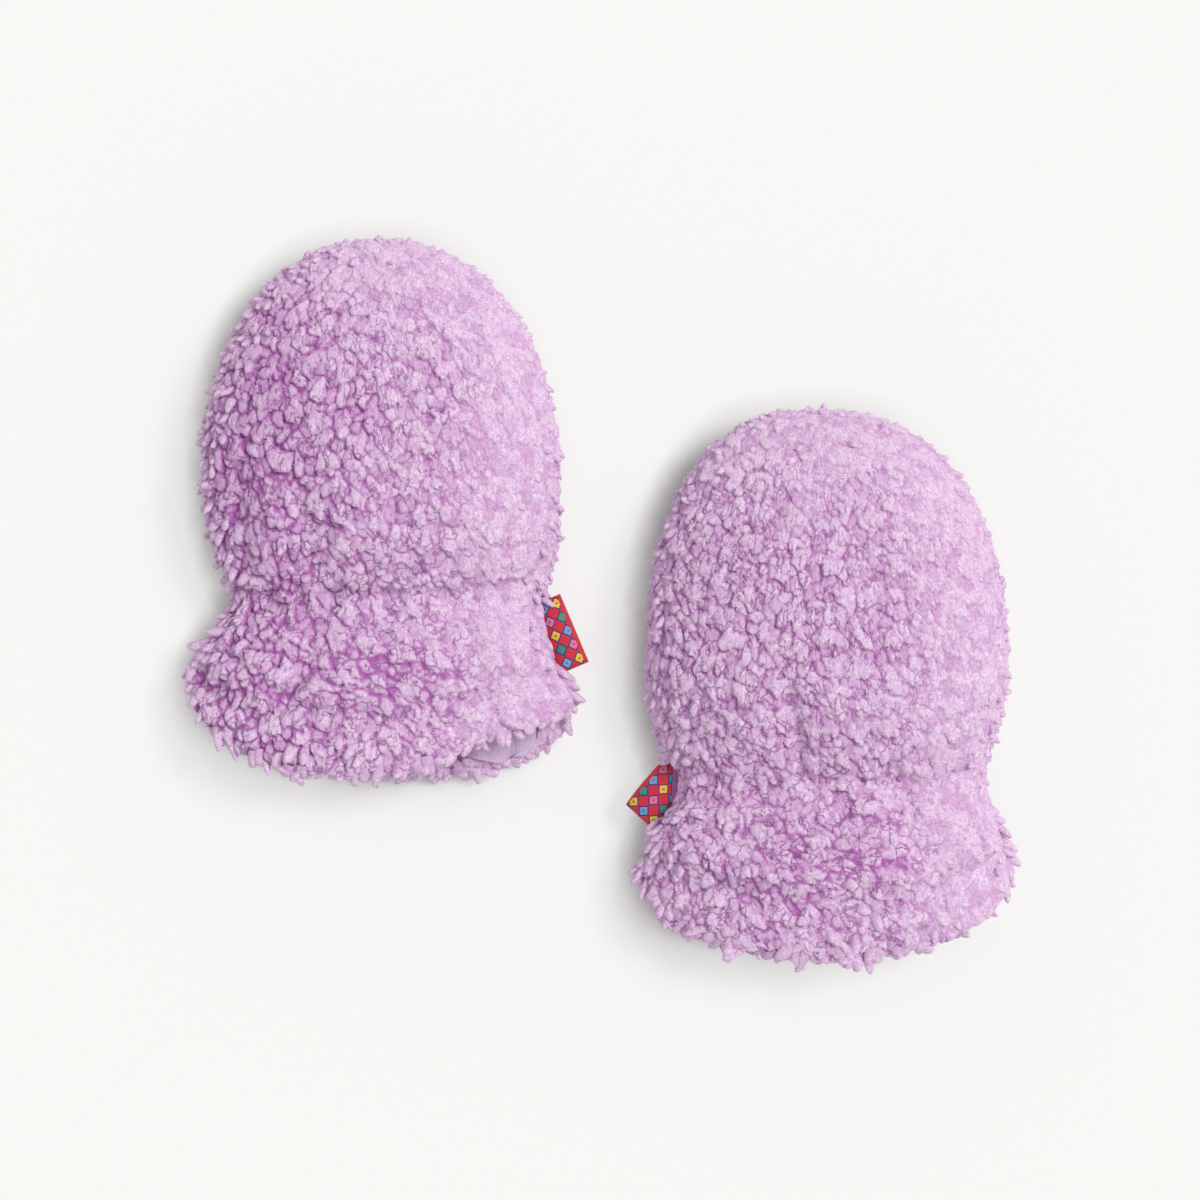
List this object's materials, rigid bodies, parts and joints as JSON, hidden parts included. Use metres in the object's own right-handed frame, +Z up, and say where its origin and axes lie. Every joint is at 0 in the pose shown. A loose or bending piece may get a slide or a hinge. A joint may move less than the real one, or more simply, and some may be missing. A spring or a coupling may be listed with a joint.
{
  "type": "pair of baby mittens",
  "caption": "Thumbless baby mittens in curly pile fleece with gathered wrists, flared cuffs, a smooth lining and folded ribbon side tabs.",
  "frame": {"origin": "on the surface that the mittens lie on, under the middle of the pair's bounding box", "axes": "+X across both mittens, to the right with the fingertips pointing away; +Y from the cuffs to the fingertips; +Z up from the surface"},
  "size_m": [0.2058, 0.1792, 0.0382],
  "materials": {
    "fleece": "lilac curly pile fleece, matt, soft and deep",
    "lining": "grey-lavender smooth jersey, matt",
    "ribbon": "woven ribbon in red with small multicoloured figures, slight satin sheen"
  },
  "bodies": {
    "root": {"left_back_panel": "fleece", "left_palm_panel": "fleece", "left_back_lining": "lining", "left_palm_lining": "lining", "left_side_tab": "ribbon", "right_back_panel": "fleece", "right_palm_panel": "fleece", "right_back_lining": "lining", "right_palm_lining": "lining", "right_side_tab": "ribbon"}
  },
  "joints": []
}
